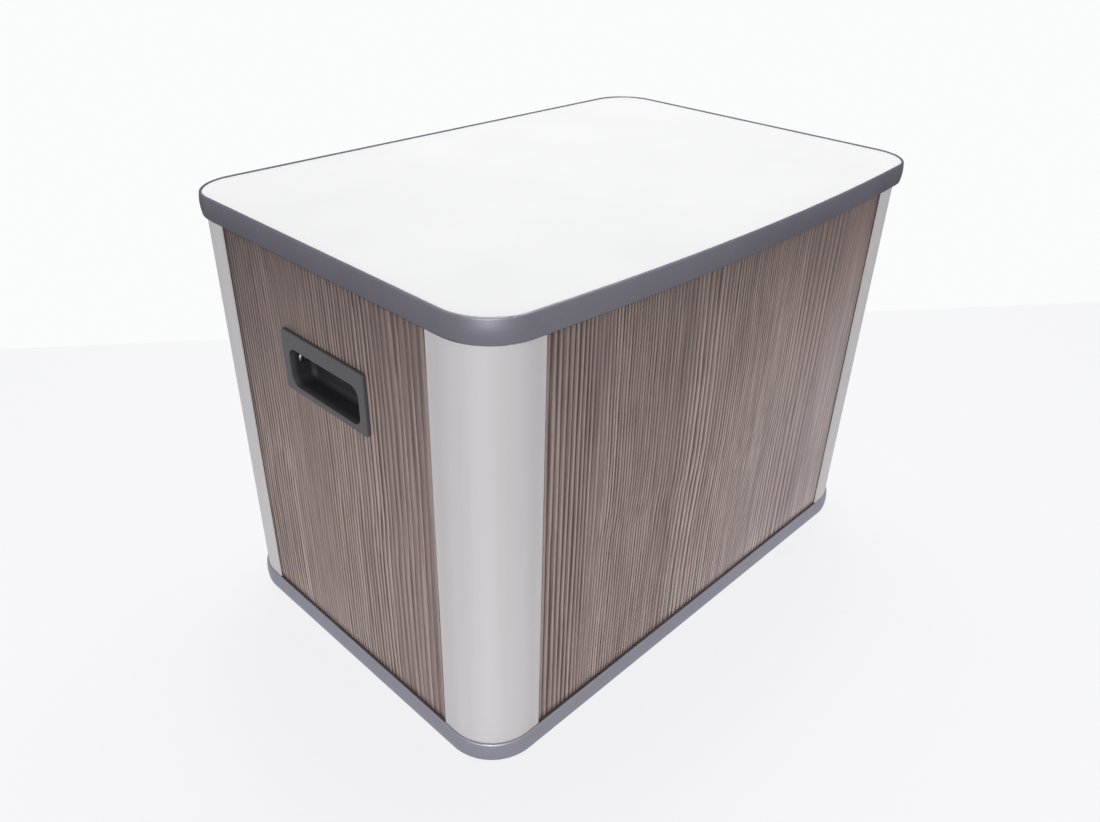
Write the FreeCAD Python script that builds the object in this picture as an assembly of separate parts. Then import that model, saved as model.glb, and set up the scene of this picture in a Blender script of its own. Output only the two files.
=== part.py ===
import FreeCAD, Part
import math
import os

from FreeCAD import Vector

# Hinged-lid box for camper furniture: laminated panels held in the slots of four rounded aluminium
# corner posts, a base board and a bow-fronted lid board, both with a crowned T-moulding round the edge.
# Millimetres. X runs along the long side, -Y is the front, +Z is up; the origin is the middle of the
# base board's underside.

# ---- overall sizes
BODY_LENGTH = 520.0          # over the corner posts
BODY_DEPTH = 342.0
WALL_HEIGHT = 341.0          # posts and panels, between the base board and the lid gap
LID_GAP = 1.0                # filled by the bumpers in front and the hinge leaf behind

# ---- corner post extrusion
POST_RADIUS = 40.0
POST_FLAT = 11.4             # straight lip on each side of the round corner
POST_SKIN = 1.6
POST_LIP = 0.8               # the lip is thinner than the round skin
PORT_BORE_RADIUS = 2.0
PORT_WALL = 1.6
PORT_SLIT = 1.5
PORT_ANGLES = (24.0, 66.0)   # degrees round the corner centre

# ---- wall panels: plywood core with a decor laminate outside
PANEL_CORE = 14.2
DECOR_THICKNESS = 0.8
GASKET_THICKNESS = 0.9       # between post lip and laminate
GASKET_WIDTH = 6.0
GASKET_SETBACK = 0.4
PANEL_PLAY = 0.1             # behind the panel in its slot
PANEL_END_PLAY = 0.4         # at the bottom of the slot

# ---- base and lid boards
BOARD_THICKNESS = 18.0
LID_LAMINATE = 0.8
LID_BACK_OVERHANG = 1.8
LID_FRONT_SETBACK = 0.5
LID_BOW = 13.4               # how far the lid's front edge swells out in its middle
LID_CORNER_RADIUS = 38.5

# ---- edge T-moulding
MOULDING_LIP = 0.4           # flat rim beside the board's face
MOULDING_SHOULDER = 1.6      # radius of the rounding above and below the crown
MOULDING_CROWN = 2.7         # how far the crown stands out in its middle
MOULDING_BACK = 0.1          # play between the moulding and the board's edge
MOULDING_JOINT = 0.4         # butt joint in the middle of the back
MOULDING_RISE = 1.2          # how far the lid's moulding stands above its white face
WEB_SCREW_CLEARANCE = 0.8    # between the web's tip and the panel screws
WEB_HALF = 0.9
BARB_HALF = 1.4
BARB_COUNT = 3
BARB_GAP = 0.4               # flat stretch of web between two barbs
GROOVE_PLAY = 0.1
GROOVE_END_PLAY = 0.6

# ---- recessed handles in the two ends
HANDLE_WIDTH = 102.0
HANDLE_HEIGHT = 50.0
HANDLE_CENTRE_Z = 276.0
HANDLE_PROUD = 3.0
HANDLE_CORNER = 3.0
HANDLE_EDGE_ROUND = 0.8
WINDOW_WIDTH = 86.0
WINDOW_HEIGHT = 31.0
WINDOW_BOTTOM_BORDER = 5.5
WINDOW_CORNER = 8.0
WINDOW_EDGE_ROUND = 0.8
POCKET_DEPTH = 20.0          # from the flange face to the pocket's back
POCKET_RISE = 8.0            # room for the fingers above the window, behind the grip hood
POCKET_CORNER = 8.0
POCKET_WALL = 2.0
POCKET_FLOOR_ROUND = 4.5
HOOD_THICKNESS = 2.6
CUTOUT_PLAY = 0.4

# ---- piano hinge
HINGE_SETBACK = 8.6          # from the posts' lips to the hinge's ends
LEAF_THICKNESS = 0.8
LEAF_WIDTH = 14.0
HINGE_PIN_RADIUS = 1.2
HINGE_RUNNING_PLAY = 0.05
KNUCKLE_COUNT = 20
KNUCKLE_PLAY = 0.4
BARREL_CLEARANCE = 0.3       # barrel to the lid and to the back panel

# ---- fasteners
BASE_SCREW_RADIUS = 1.95
BASE_SCREW_LENGTH = 45.0
BASE_SCREW_HEAD_RADIUS = 4.0
BASE_SCREW_HEAD_HEIGHT = 2.6
BASE_SCREW_SINK = 0.4
SCREW_PLAY = 0.05
HANDLE_SCREW_RADIUS = 1.7
HANDLE_SCREW_LENGTH = 20.0
HANDLE_SCREW_HEAD_RADIUS = 4.0
HANDLE_SCREW_HEAD_HEIGHT = 2.4
HANDLE_SCREW_HEAD_ROUND = 1.5
LEAF_SCREW_RADIUS = 1.3
LEAF_SCREW_LENGTH = 12.0
LEAF_SCREW_HEAD_RADIUS = 2.5
LEAF_SCREW_HEAD_HEIGHT = 0.9
LEAF_SCREW_COUNT = 6
LONG_PANEL_SCREWS = 3
SHORT_PANEL_SCREWS = 2
PANEL_SCREW_INSET = 25.6     # from the posts' lips to the outermost panel screws
POINT_LENGTH = 3.0

# ---- lid bumpers
BUMPER_RADIUS = 4.0
BUMPER_INSET = 51.6          # from the posts' lips to the front bumpers

# ---- modelling aids
OVERSHOOT = 1.0              # how far a cutting solid runs past the face that it cuts through
SAME_PLACE = 0.001

# ---- worked out from the values above
HALF_LENGTH = BODY_LENGTH / 2
HALF_DEPTH = BODY_DEPTH / 2
POST_SPAN = POST_RADIUS + POST_FLAT
WALL_TOP = BOARD_THICKNESS + WALL_HEIGHT
LID_UNDERSIDE = WALL_TOP + LID_GAP
PANEL_THICKNESS = PANEL_CORE + DECOR_THICKNESS
PANEL_SETBACK = POST_LIP + GASKET_THICKNESS
SLOT_INNER = PANEL_SETBACK + PANEL_THICKNESS + PANEL_PLAY
PANEL_MIDDLE = PANEL_SETBACK + DECOR_THICKNESS + PANEL_CORE / 2
WEB_LENGTH = PANEL_MIDDLE - BASE_SCREW_RADIUS - WEB_SCREW_CLEARANCE
LID_FACE = LID_UNDERSIDE + BOARD_THICKNESS - MOULDING_RISE
LID_BACK_Y = HALF_DEPTH + LID_BACK_OVERHANG
LID_FRONT_Y = -HALF_DEPTH + LID_FRONT_SETBACK
GROOVE_HALF = BARB_HALF + GROOVE_PLAY
GROOVE_DEPTH = WEB_LENGTH + GROOVE_END_PLAY
HINGE_LENGTH = BODY_LENGTH - 2 * (POST_SPAN + HINGE_SETBACK)
BARREL_RADIUS = HINGE_PIN_RADIUS + HINGE_RUNNING_PLAY + LEAF_THICKNESS
BACK_FACE_Y = HALF_DEPTH - PANEL_SETBACK
HINGE_Y = BACK_FACE_Y + BARREL_CLEARANCE + BARREL_RADIUS
HINGE_Z = LID_UNDERSIDE - BARREL_CLEARANCE - BARREL_RADIUS
LEAF_NOTCH = BARREL_RADIUS + BARREL_CLEARANCE
FLANGE_FACE = PANEL_SETBACK - HANDLE_PROUD      # measured inwards from the body's end


def box(x0, x1, y0, y1, z0, z1):
    return Part.makeBox(x1 - x0, y1 - y0, z1 - z0, Vector(x0, y0, z0))


def prism(edges, z0, z1):
    face = Part.Face(Part.Wire(edges))
    face.translate(Vector(0, 0, z0))
    return face.extrude(Vector(0, 0, z1 - z0))


def arc_edge(start, middle, end):
    return Part.Arc(start, middle, end).toShape()


def polar(centre, radius, degrees):
    angle = math.radians(degrees)
    return Vector(centre.x + radius * math.cos(angle), centre.y + radius * math.sin(angle), centre.z)


# ---- board outline: straight back and ends, rounded corners, front edge straight or bowed

def corner_arc(centre, radius, start, end):
    return arc_edge(polar(centre, radius, start), polar(centre, radius, (start + end) / 2),
                    polar(centre, radius, end))


def front_half(half_x, front_y, radius, bow, inset):
    """The right front corner's centre and the angle at which its arc meets the front edge."""
    side = half_x - inset
    fillet = radius - inset
    if bow == 0:
        return Vector(side - fillet, front_y + inset + fillet, 0), -90.0
    bow_radius = half_x ** 2 / (2 * bow) + bow / 2
    bow_centre_y = front_y - bow + bow_radius
    reach = bow_radius - inset - fillet
    centre = Vector(side - fillet, bow_centre_y - math.sqrt(reach ** 2 - (side - fillet) ** 2), 0)
    angle = math.degrees(math.atan2(centre.y - bow_centre_y, centre.x))
    return centre, angle


def outline(half_x, back_y, front_y, radius, bow=0.0, inset=0.0, gap=0.0):
    """Edges from the middle of the back, clockwise seen from above, with an optional gap there."""
    side, back = half_x - inset, back_y - inset
    fillet = radius - inset
    front_centre, front_angle = front_half(half_x, front_y, radius, bow, inset)
    back_centre = Vector(side - fillet, back - fillet, 0)
    right_tangent = polar(front_centre, fillet, front_angle)
    left_tangent = Vector(-right_tangent.x, right_tangent.y, 0)
    left_front = Vector(-front_centre.x, front_centre.y, 0)
    left_back = Vector(-back_centre.x, back_centre.y, 0)
    if bow == 0:
        front_edge = Part.makeLine(right_tangent, left_tangent)
    else:
        front_edge = arc_edge(right_tangent, Vector(0, front_y - bow + inset, 0), left_tangent)
    edges = [
        Part.makeLine(Vector(gap / 2, back, 0), Vector(back_centre.x, back, 0)),
        corner_arc(back_centre, fillet, 90, 0),
        Part.makeLine(Vector(side, back_centre.y, 0), Vector(side, front_centre.y, 0)),
        corner_arc(front_centre, fillet, 0, front_angle),
        front_edge,
        corner_arc(left_front, fillet, -180 - front_angle, -180),
        Part.makeLine(Vector(-side, front_centre.y, 0), Vector(-side, back_centre.y, 0)),
        corner_arc(left_back, fillet, 180, 90),
        Part.makeLine(Vector(-back_centre.x, back, 0), Vector(-gap / 2, back, 0)),
    ]
    return edges


def base_outline(inset=0.0, gap=0.0):
    return outline(HALF_LENGTH, HALF_DEPTH, -HALF_DEPTH, POST_RADIUS, 0.0, inset, gap)


def lid_outline(inset=0.0, gap=0.0):
    return outline(HALF_LENGTH, LID_BACK_Y, LID_FRONT_Y, LID_CORNER_RADIUS, LID_BOW, inset, gap)


def grooved_board(outline_of, z0, z1, groove_z):
    board = prism(outline_of(), z0, z1)
    ring = prism(outline_of(-OVERSHOOT), groove_z - GROOVE_HALF, groove_z + GROOVE_HALF)
    core = prism(outline_of(GROOVE_DEPTH), groove_z - GROOVE_HALF, groove_z + GROOVE_HALF)
    return board.cut(ring.cut(core))


# ---- crowned T-moulding

def web_points():
    """One side of the barbed web, from its root to its tip, as (inward distance, half height).

    Half a pitch of plain web comes before the first barb.
    """
    points = [(0.0, WEB_HALF)]
    pitch = WEB_LENGTH / (BARB_COUNT + 0.5)
    for index in range(BARB_COUNT):
        start = pitch * (index + 0.5)
        points += [(start, WEB_HALF), (start, BARB_HALF), (start + pitch - BARB_GAP, WEB_HALF)]
    points.append((WEB_LENGTH, WEB_HALF))
    return points


def moulding_profile(edge_x, edge_y, z0, height):
    """Section in the plane x = edge_x; outwards is +Y from the board's edge at edge_y."""
    def at(outwards, up):
        return Vector(edge_x, edge_y + outwards, z0 + up)
    middle = height / 2
    upper = [at(MOULDING_BACK - inward, middle + half) for inward, half in web_points()]
    lower = [at(MOULDING_BACK - inward, middle - half) for inward, half in reversed(web_points())]
    corners = [at(MOULDING_LIP, height), at(MOULDING_BACK, height)] + upper + lower
    corners += [at(MOULDING_BACK, 0), at(MOULDING_LIP, 0)]
    edges = [Part.makeLine(a, b) for a, b in zip(corners, corners[1:])]
    cheek = MOULDING_LIP + MOULDING_SHOULDER
    half_way = MOULDING_SHOULDER * math.sqrt(0.5)
    edges += [
        arc_edge(at(MOULDING_LIP, 0), at(MOULDING_LIP + half_way, MOULDING_SHOULDER - half_way),
                 at(cheek, MOULDING_SHOULDER)),
        arc_edge(at(cheek, MOULDING_SHOULDER), at(MOULDING_CROWN, middle),
                 at(cheek, height - MOULDING_SHOULDER)),
        arc_edge(at(cheek, height - MOULDING_SHOULDER),
                 at(MOULDING_LIP + half_way, height - MOULDING_SHOULDER + half_way),
                 at(MOULDING_LIP, height)),
    ]
    return Part.Wire(edges)


def moulding(outline_of, back_y, z0, height):
    path = Part.Wire(outline_of(0.0, MOULDING_JOINT))
    path.translate(Vector(0, 0, z0))
    sweep = Part.BRepOffsetAPI.MakePipeShell(path)
    sweep.setBiNormalMode(Vector(0, 0, 1))
    sweep.add(moulding_profile(MOULDING_JOINT / 2, back_y, z0, height))
    sweep.build()
    sweep.makeSolid()
    return sweep.shape()


# ---- corner posts

def post_section():
    """Section of the front left post, from its outer corner at the origin, as joined solids 1 mm high."""
    r, skin, lip, span = POST_RADIUS, POST_SKIN, POST_LIP, POST_SPAN
    centre = Vector(r, r, 0)

    def shell(outer_r, thickness, outer_offset, leg_thickness):
        """Round wall about the corner centre that runs on as a straight leg on each side."""
        inner_r = outer_r - thickness
        first, last = outer_offset, outer_offset + leg_thickness
        round_wall = [
            arc_edge(polar(centre, outer_r, 180), polar(centre, outer_r, 225), polar(centre, outer_r, 270)),
            Part.makeLine(polar(centre, outer_r, 270), polar(centre, inner_r, 270)),
            arc_edge(polar(centre, inner_r, 270), polar(centre, inner_r, 225), polar(centre, inner_r, 180)),
            Part.makeLine(polar(centre, inner_r, 180), polar(centre, outer_r, 180)),
        ]
        legs = [box(r, span, first, last, 0, 1), box(first, last, r, span, 0, 1)]
        return [prism(round_wall, 0, 1)] + legs

    solids = shell(r, skin, 0, lip)
    solids += shell(r - SLOT_INNER, skin, SLOT_INNER, skin)
    solids += [box(r - skin, r, skin / 2, SLOT_INNER + skin / 2, 0, 1),
               box(skin / 2, SLOT_INNER + skin / 2, r - skin, r, 0, 1)]
    solids += [Part.makeCylinder(PORT_BORE_RADIUS + PORT_WALL, 1, point) for point in port_points(centre)]
    joined = solids[0].fuse(solids[1:])
    for point in port_points(centre):
        joined = joined.cut(Part.makeCylinder(PORT_BORE_RADIUS, 1, point))
        outwards = math.degrees(math.atan2(point.y - centre.y, point.x - centre.x))
        slit = box(0, PORT_BORE_RADIUS + 2 * PORT_WALL, -PORT_SLIT / 2, PORT_SLIT / 2, 0, 1)
        slit.rotate(Vector(0, 0, 0), Vector(0, 0, 1), outwards)
        slit.translate(point)
        joined = joined.cut(slit)
    return joined.removeSplitter()


def port_points(centre):
    """Screw ports stand on the round inner wall."""
    distance = POST_RADIUS - SLOT_INNER + PORT_BORE_RADIUS + PORT_WALL / 2
    return [polar(centre, distance, 180 + angle) for angle in PORT_ANGLES]


CORNERS = ("front_left", "front_right", "back_right", "back_left")


def place_in_corner(shape, corner):
    """From the front left corner at the origin, a quarter turn further for each next corner."""
    shape.rotate(Vector(0, 0, 0), Vector(0, 0, 1), 90 * CORNERS.index(corner))
    corner_x = -HALF_LENGTH if "left" in corner else HALF_LENGTH
    corner_y = -HALF_DEPTH if "front" in corner else HALF_DEPTH
    shape.translate(Vector(corner_x, corner_y, 0))
    return shape


def corner_post(corner):
    section = post_section()
    bottom = [face for face in section.Faces if abs(face.CenterOfMass.z) < SAME_PLACE][0]
    post = bottom.extrude(Vector(0, 0, WALL_HEIGHT))
    post.translate(Vector(0, 0, BOARD_THICKNESS))
    return place_in_corner(post, corner)


def post_screw_points():
    """Where the screw ports come down on the base board."""
    points = []
    for corner in CORNERS:
        for point in port_points(Vector(POST_RADIUS, POST_RADIUS, 0)):
            vertex = place_in_corner(Part.Vertex(point), corner)
            points.append(vertex.Point)
    return points


# ---- wall panels

def wall(side, first, last):
    """A layer of one wall, from first to last millimetres behind the body's outer face."""
    end = POST_RADIUS + PANEL_END_PLAY
    if side in ("front", "back"):
        layer = box(-HALF_LENGTH + end, HALF_LENGTH - end, -HALF_DEPTH + first, -HALF_DEPTH + last,
                    BOARD_THICKNESS, WALL_TOP)
    else:
        layer = box(-HALF_LENGTH + first, -HALF_LENGTH + last, -HALF_DEPTH + end, HALF_DEPTH - end,
                    BOARD_THICKNESS, WALL_TOP)
    return to_side(layer, side)


def to_side(shape, side):
    """Shapes are made for the front or the left wall; the opposite walls are the same, turned round."""
    if side in ("back", "right"):
        shape.rotate(Vector(0, 0, 0), Vector(0, 0, 1), 180)
    return shape


def spaced(count, half_span):
    """Evenly spaced places from end to end."""
    return [half_span * (2 * index / (count - 1) - 1) for index in range(count)]


def panel_screw_points(side):
    if side in ("front", "back"):
        along = spaced(LONG_PANEL_SCREWS, HALF_LENGTH - POST_SPAN - PANEL_SCREW_INSET)
        points = [Vector(x, -HALF_DEPTH + PANEL_MIDDLE, 0) for x in along]
    else:
        along = spaced(SHORT_PANEL_SCREWS, HALF_DEPTH - POST_SPAN - PANEL_SCREW_INSET)
        points = [Vector(-HALF_LENGTH + PANEL_MIDDLE, y, 0) for y in along]
    return [to_side(Part.Vertex(point), side).Point for point in points]


def base_screw_points():
    points = post_screw_points()
    for side in ("front", "back", "left", "right"):
        points += panel_screw_points(side)
    return points


def pilot(points):
    """Holes for the base screws, all the way up their shanks."""
    top = BASE_SCREW_SINK + BASE_SCREW_LENGTH + SCREW_PLAY
    holes = [Part.makeCylinder(BASE_SCREW_RADIUS + SCREW_PLAY, top, point) for point in points]
    return holes[0].fuse(holes[1:])


def panel_core(side):
    core = wall(side, PANEL_SETBACK + DECOR_THICKNESS, PANEL_SETBACK + PANEL_THICKNESS)
    core = core.cut(pilot(panel_screw_points(side)))
    if side in ("left", "right"):
        core = core.cut(to_side(handle_cutout(), side))
        core = core.cut(to_side(Part.makeCompound(handle_screw_holes()), side))
    if side == "back":
        core = core.cut(Part.makeCompound(leaf_screws(True, SCREW_PLAY)))
    return core


def panel_decor(side):
    decor = wall(side, PANEL_SETBACK, PANEL_SETBACK + DECOR_THICKNESS)
    if side in ("left", "right"):
        decor = decor.cut(to_side(handle_cutout(), side))
    if side == "back":
        decor = decor.cut(Part.makeCompound(leaf_screws(True, SCREW_PLAY)))
    return decor


def panel_gaskets():
    """Strips in the mouths of the post slots, between the lip and the laminate."""
    strips = []
    start = POST_SPAN - GASKET_SETBACK - GASKET_WIDTH
    for corner in CORNERS:
        for flat in (True, False):
            a, b = (start, start + GASKET_WIDTH), (POST_LIP, PANEL_SETBACK)
            across = (a, b) if flat else (b, a)
            strip = box(*across[0], *across[1], BOARD_THICKNESS, WALL_TOP)
            strips.append(place_in_corner(strip, corner))
    return Part.makeCompound(strips)


# ---- base board and its screws

def countersunk_screw(radius, length, head_radius, head_height):
    """Point up, with its head's flat face at z = 0."""
    neck = length - POINT_LENGTH
    outline_points = [Vector(0, 0, 0), Vector(head_radius, 0, 0), Vector(radius, 0, head_height),
                      Vector(radius, 0, neck), Vector(0, 0, length), Vector(0, 0, 0)]
    face = Part.Face(Part.makePolygon(outline_points))
    return face.revolve(Vector(0, 0, 0), Vector(0, 0, 1), 360)


def base_screw(play=0.0):
    """Play widens the shank and the head, for the holes in the base board."""
    screw = countersunk_screw(BASE_SCREW_RADIUS + play, BASE_SCREW_LENGTH,
                              BASE_SCREW_HEAD_RADIUS + play, BASE_SCREW_HEAD_HEIGHT)
    screw.translate(Vector(0, 0, BASE_SCREW_SINK))
    return screw


def base_screws():
    screws = []
    for point in base_screw_points():
        screw = base_screw()
        screw.translate(point)
        screws.append(screw)
    return Part.makeCompound(screws)


def base_board():
    board = grooved_board(base_outline, 0, BOARD_THICKNESS, BOARD_THICKNESS / 2)
    holes = []
    for point in base_screw_points():
        hole = base_screw(SCREW_PLAY)
        hole.translate(point)
        counterbore = Part.makeCylinder(BASE_SCREW_HEAD_RADIUS + SCREW_PLAY, BASE_SCREW_SINK, point)
        holes += [hole, counterbore]
    return board.cut(Part.makeCompound(holes))


# ---- recessed handles; modelled in the left wall

def rounded_block(depth0, depth1, width, z0, z1, radius):
    """Block whose depth runs inwards from the body's left end, with its four long edges rounded."""
    block = box(-HALF_LENGTH + depth0, -HALF_LENGTH + depth1, -width / 2, width / 2, z0, z1)
    long_edges = [edge for edge in block.Edges if abs(edge.tangentAt(edge.FirstParameter).x) > 0.5]
    return block.makeFillet(radius, long_edges)


def edges_at_x(shape, x):
    return [edge for edge in shape.Edges if abs(edge.CenterOfMass.x - x) < SAME_PLACE]


def pocket_levels():
    """Heights of the flange bottom and top, the window bottom and top, and the pocket's roof."""
    bottom = HANDLE_CENTRE_Z - HANDLE_HEIGHT / 2
    window = bottom + WINDOW_BOTTOM_BORDER
    return bottom, bottom + HANDLE_HEIGHT, window, window + WINDOW_HEIGHT, window + WINDOW_HEIGHT + POCKET_RISE


def handle_cutout():
    window, roof = pocket_levels()[2], pocket_levels()[4]
    grow = POCKET_WALL + CUTOUT_PLAY
    return rounded_block(PANEL_SETBACK - OVERSHOOT, SLOT_INNER + OVERSHOOT, WINDOW_WIDTH + 2 * grow,
                         window - grow, roof + grow, POCKET_CORNER + grow)


def handle():
    bottom, top, window, window_top, roof = pocket_levels()
    flange = rounded_block(FLANGE_FACE, PANEL_SETBACK, HANDLE_WIDTH, bottom, top, HANDLE_CORNER)
    front_x = -HALF_LENGTH + FLANGE_FACE
    flange = flange.makeFillet(HANDLE_EDGE_ROUND, edges_at_x(flange, front_x))
    deep = FLANGE_FACE + POCKET_DEPTH
    shell = rounded_block(PANEL_SETBACK, deep + POCKET_WALL,
                          WINDOW_WIDTH + 2 * POCKET_WALL, window - POCKET_WALL, roof + POCKET_WALL,
                          POCKET_CORNER + POCKET_WALL)
    heel = edges_at_x(shell, -HALF_LENGTH + deep + POCKET_WALL)
    shell = shell.makeFillet(POCKET_FLOOR_ROUND + POCKET_WALL, heel)
    pocket = rounded_block(FLANGE_FACE + HOOD_THICKNESS, deep, WINDOW_WIDTH, window, roof, POCKET_CORNER)
    pocket = pocket.makeFillet(POCKET_FLOOR_ROUND, edges_at_x(pocket, -HALF_LENGTH + deep))
    window_cut = rounded_block(FLANGE_FACE - OVERSHOOT, FLANGE_FACE + HOOD_THICKNESS + OVERSHOOT,
                               WINDOW_WIDTH, window, window_top, WINDOW_CORNER)
    body = flange.fuse(shell).cut(pocket).cut(window_cut)
    body = body.removeSplitter()
    mouth = [edge for edge in edges_at_x(body, front_x)
             if abs(edge.CenterOfMass.y) < WINDOW_WIDTH / 2 + SAME_PLACE
             and window - SAME_PLACE < edge.CenterOfMass.z < window_top + SAME_PLACE]
    body = body.makeFillet(WINDOW_EDGE_ROUND, mouth)
    return body.cut(Part.makeCompound(handle_screw_holes()))


def handle_screw_axis(end):
    """Point on the pocket's end wall where the screw's head seats; end is -1 or +1 along Y."""
    middle_z = (pocket_levels()[2] + pocket_levels()[4]) / 2
    return Vector(-HALF_LENGTH + PANEL_MIDDLE, end * WINDOW_WIDTH / 2, middle_z), Vector(0, end, 0)


def handle_screw(end):
    seat, axis = handle_screw_axis(end)
    shank = Part.makeCylinder(HANDLE_SCREW_RADIUS, HANDLE_SCREW_LENGTH, seat, axis)
    head = Part.makeCylinder(HANDLE_SCREW_HEAD_RADIUS, HANDLE_SCREW_HEAD_HEIGHT, seat, -axis)
    crown = [edge for edge in head.Edges if len(edge.Vertexes) == 1
             and abs(edge.CenterOfMass.y - (seat - axis * HANDLE_SCREW_HEAD_HEIGHT).y) < SAME_PLACE]
    head = head.makeFillet(HANDLE_SCREW_HEAD_ROUND, crown)
    return head.fuse(shank).removeSplitter()


def handle_screw_holes():
    holes = []
    for end in (-1, 1):
        seat, axis = handle_screw_axis(end)
        holes.append(Part.makeCylinder(HANDLE_SCREW_RADIUS + SCREW_PLAY,
                                       HANDLE_SCREW_LENGTH + SCREW_PLAY, seat, axis))
    return holes


def handle_screws():
    return Part.makeCompound([to_side(handle_screw(end), side)
                              for side in ("left", "right") for end in (-1, 1)])


# ---- lid

def lid_core():
    core = grooved_board(lid_outline, LID_UNDERSIDE + LID_LAMINATE, LID_FACE - LID_LAMINATE,
                         LID_UNDERSIDE + BOARD_THICKNESS / 2)
    return core.cut(Part.makeCompound(leaf_screws(False, SCREW_PLAY)))


def lid_top_laminate():
    return prism(lid_outline(), LID_FACE - LID_LAMINATE, LID_FACE)


def lid_under_laminate():
    skin = prism(lid_outline(), LID_UNDERSIDE, LID_UNDERSIDE + LID_LAMINATE)
    return skin.cut(Part.makeCompound(leaf_screws(False, SCREW_PLAY)))


def lid_bumpers():
    """Discs on the tops of the panels, which hold the lid off by its gap."""
    middle = PANEL_SETBACK + PANEL_THICKNESS / 2
    front_x = HALF_LENGTH - POST_SPAN - BUMPER_INSET
    points = [(-front_x, -HALF_DEPTH + middle), (front_x, -HALF_DEPTH + middle),
              (-HALF_LENGTH + middle, 0), (HALF_LENGTH - middle, 0)]
    return Part.makeCompound([Part.makeCylinder(BUMPER_RADIUS, LID_GAP, Vector(x, y, WALL_TOP))
                              for x, y in points])


# ---- piano hinge; the body leaf hangs down the back panel, the lid leaf lies under the lid

def knuckle_spans(first):
    """Start and end of every second knuckle, from the first or the second."""
    pitch = HINGE_LENGTH / KNUCKLE_COUNT
    spans = []
    for index in range(first, KNUCKLE_COUNT, 2):
        start = -HINGE_LENGTH / 2 + index * pitch
        spans.append((start + KNUCKLE_PLAY / 2, start + pitch - KNUCKLE_PLAY / 2))
    return spans


def hinge_leaf(on_body):
    far = HINGE_LENGTH / 2
    if on_body:
        plate = box(-far, far, BACK_FACE_Y, BACK_FACE_Y + LEAF_THICKNESS, HINGE_Z - LEAF_WIDTH,
                    HINGE_Z - LEAF_NOTCH)
    else:
        plate = box(-far, far, HINGE_Y - LEAF_WIDTH, HINGE_Y - LEAF_NOTCH,
                    LID_UNDERSIDE - LEAF_THICKNESS, LID_UNDERSIDE)
    pieces = []
    for start, end in knuckle_spans(0 if on_body else 1):
        pieces.append(Part.makeCylinder(BARREL_RADIUS, end - start, Vector(start, HINGE_Y, HINGE_Z),
                                        Vector(1, 0, 0)))
        if on_body:
            pieces.append(box(start, end, BACK_FACE_Y, BACK_FACE_Y + LEAF_THICKNESS,
                              HINGE_Z - LEAF_NOTCH, HINGE_Z))
        else:
            pieces.append(box(start, end, HINGE_Y - LEAF_NOTCH, HINGE_Y,
                              LID_UNDERSIDE - LEAF_THICKNESS, LID_UNDERSIDE))
    bore = Part.makeCylinder(HINGE_PIN_RADIUS + HINGE_RUNNING_PLAY, HINGE_LENGTH,
                             Vector(-far, HINGE_Y, HINGE_Z), Vector(1, 0, 0))
    leaf = plate.fuse(pieces).cut(bore).removeSplitter()
    return leaf.cut(Part.makeCompound(leaf_screws(on_body, SCREW_PLAY)))


def hinge_pin():
    return Part.makeCylinder(HINGE_PIN_RADIUS, HINGE_LENGTH,
                             Vector(-HINGE_LENGTH / 2, HINGE_Y, HINGE_Z), Vector(1, 0, 0))


def leaf_screws(on_body, play=0.0):
    """Countersunk screws flush with the leaf: forwards into the back panel, or up into the lid."""
    screws = []
    middle = (LEAF_WIDTH + LEAF_NOTCH) / 2
    for x in spaced(LEAF_SCREW_COUNT, HINGE_LENGTH / 2 - LEAF_WIDTH):
        screw = countersunk_screw(LEAF_SCREW_RADIUS + play, LEAF_SCREW_LENGTH,
                                  LEAF_SCREW_HEAD_RADIUS + play, LEAF_SCREW_HEAD_HEIGHT)
        if on_body:
            screw.rotate(Vector(0, 0, 0), Vector(1, 0, 0), 90)
            screw.translate(Vector(x, BACK_FACE_Y + LEAF_THICKNESS, HINGE_Z - middle))
        else:
            screw.translate(Vector(x, HINGE_Y - middle, LID_UNDERSIDE - LEAF_THICKNESS))
        screws.append(screw)
    return screws


def build():
    parts = {
        "base_board": base_board(),
        "base_edge_moulding": moulding(base_outline, HALF_DEPTH, 0, BOARD_THICKNESS),
        "base_screws": base_screws(),
        "panel_gaskets": panel_gaskets(),
        "left_handle": handle(),
        "right_handle": to_side(handle(), "right"),
        "handle_screws": handle_screws(),
        "lid_bumpers": lid_bumpers(),
        "hinge_body_leaf": hinge_leaf(True),
        "hinge_body_screws": Part.makeCompound(leaf_screws(True)),
        "hinge_pin": hinge_pin(),
        "hinge_lid_leaf": hinge_leaf(False),
        "hinge_lid_screws": Part.makeCompound(leaf_screws(False)),
        "lid_core": lid_core(),
        "lid_top_laminate": lid_top_laminate(),
        "lid_under_laminate": lid_under_laminate(),
        "lid_edge_moulding": moulding(lid_outline, LID_BACK_Y, LID_UNDERSIDE, BOARD_THICKNESS),
    }
    for corner in CORNERS:
        parts[corner + "_post"] = corner_post(corner)
    for side in ("front", "back", "left", "right"):
        parts[side + "_panel_core"] = panel_core(side)
        parts[side + "_panel_laminate"] = panel_decor(side)
    return parts


os.makedirs("parts", exist_ok=True)
for name, shape in build().items():
    shape.exportStep("parts/" + name + ".step")
    print(name, "valid" if shape.isValid() else "INVALID", len(shape.Solids), round(shape.Volume, 1))
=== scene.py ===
import math

import bmesh
import bpy
from mathutils import Euler, Matrix, Vector


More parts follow.
